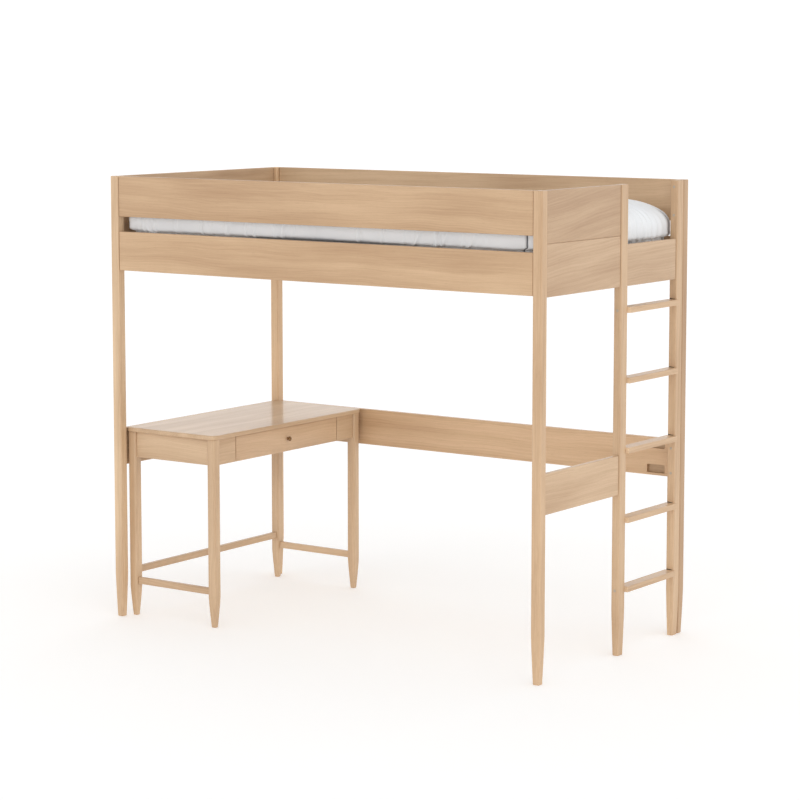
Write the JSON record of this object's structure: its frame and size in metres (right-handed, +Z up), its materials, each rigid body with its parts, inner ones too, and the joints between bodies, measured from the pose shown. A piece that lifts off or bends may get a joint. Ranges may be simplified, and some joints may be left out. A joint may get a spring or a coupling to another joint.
{
  "type": "loft bed with desk",
  "caption": "Wooden loft bed with tapered post feet, guard boards, a built-in end ladder, a mattress and a free-standing desk with a drawer underneath.",
  "frame": {"origin": "on the floor, at the centre of the overall box", "axes": "+X from the head end to the ladder end, +Y from the open front side to the back, +Z up"},
  "size_m": [2.042, 1.069, 1.787],
  "materials": {
    "bed_wood": "satin clear lacquer on light oak, straight fine grain",
    "desk_wood": "semi-gloss clear lacquer on light oak, fine grain",
    "inner_wood": "unlacquered pale softwood",
    "sheet_fabric": "white cotton fitted sheet, matt",
    "knob_brass": "antique brushed brass",
    "bolt_cap": "light grey moulded cap"
  },
  "bodies": {
    "frame": {"post_head_front": "bed_wood", "post_head_back": "bed_wood", "post_foot_front": "bed_wood", "post_foot_back": "bed_wood", "ladder_rail_inner": "bed_wood", "ladder_rail_outer": "bed_wood", "ladder_rung_1": "bed_wood", "ladder_rung_2": "bed_wood", "ladder_rung_3": "bed_wood", "ladder_rung_4": "bed_wood", "ladder_rung_5": "bed_wood", "guard_front": "bed_wood", "side_rail_front": "bed_wood", "guard_back": "bed_wood", "side_rail_back": "bed_wood", "head_panel_upper": "bed_wood", "head_panel_lower": "bed_wood", "foot_panel_upper": "bed_wood", "foot_panel_lower": "bed_wood", "foot_gap_rail": "bed_wood", "low_rail_back": "bed_wood", "low_rail_head": "bed_wood", "low_rail_foot": "bed_wood", "slat_ledger_front": "inner_wood", "slat_ledger_back": "inner_wood", "slat_1": "inner_wood", "slat_2": "inner_wood", "slat_3": "inner_wood", "slat_4": "inner_wood", "slat_5": "inner_wood", "slat_6": "inner_wood", "slat_7": "inner_wood", "slat_8": "inner_wood", "slat_9": "inner_wood", "slat_10": "inner_wood", "mattress": "sheet_fabric", "desk_top": "desk_wood", "desk_leg_rear_left": "desk_wood", "desk_leg_rear_right": "desk_wood", "desk_leg_front_left": "desk_wood", "desk_leg_front_right": "desk_wood", "desk_apron_left": "desk_wood", "desk_apron_right": "desk_wood", "desk_apron_rear": "desk_wood", "desk_stile_left": "desk_wood", "desk_stile_right": "desk_wood", "desk_stretcher_left": "desk_wood", "desk_stretcher_right": "desk_wood", "desk_stretcher_rear": "desk_wood", "drawer_runner_left": "inner_wood", "drawer_runner_right": "inner_wood"},
    "drawer": {"drawer_front": "desk_wood", "drawer_side_left": "inner_wood", "drawer_side_right": "inner_wood", "drawer_back": "inner_wood", "drawer_bottom": "inner_wood", "drawer_knob": "knob_brass"}
  },
  "joints": [
    {"name": "drawer_slide", "type": "slide", "parent": "frame", "child": "drawer", "axis": [1, 0, 0], "range_m": [0, 0.28]}
  ]
}
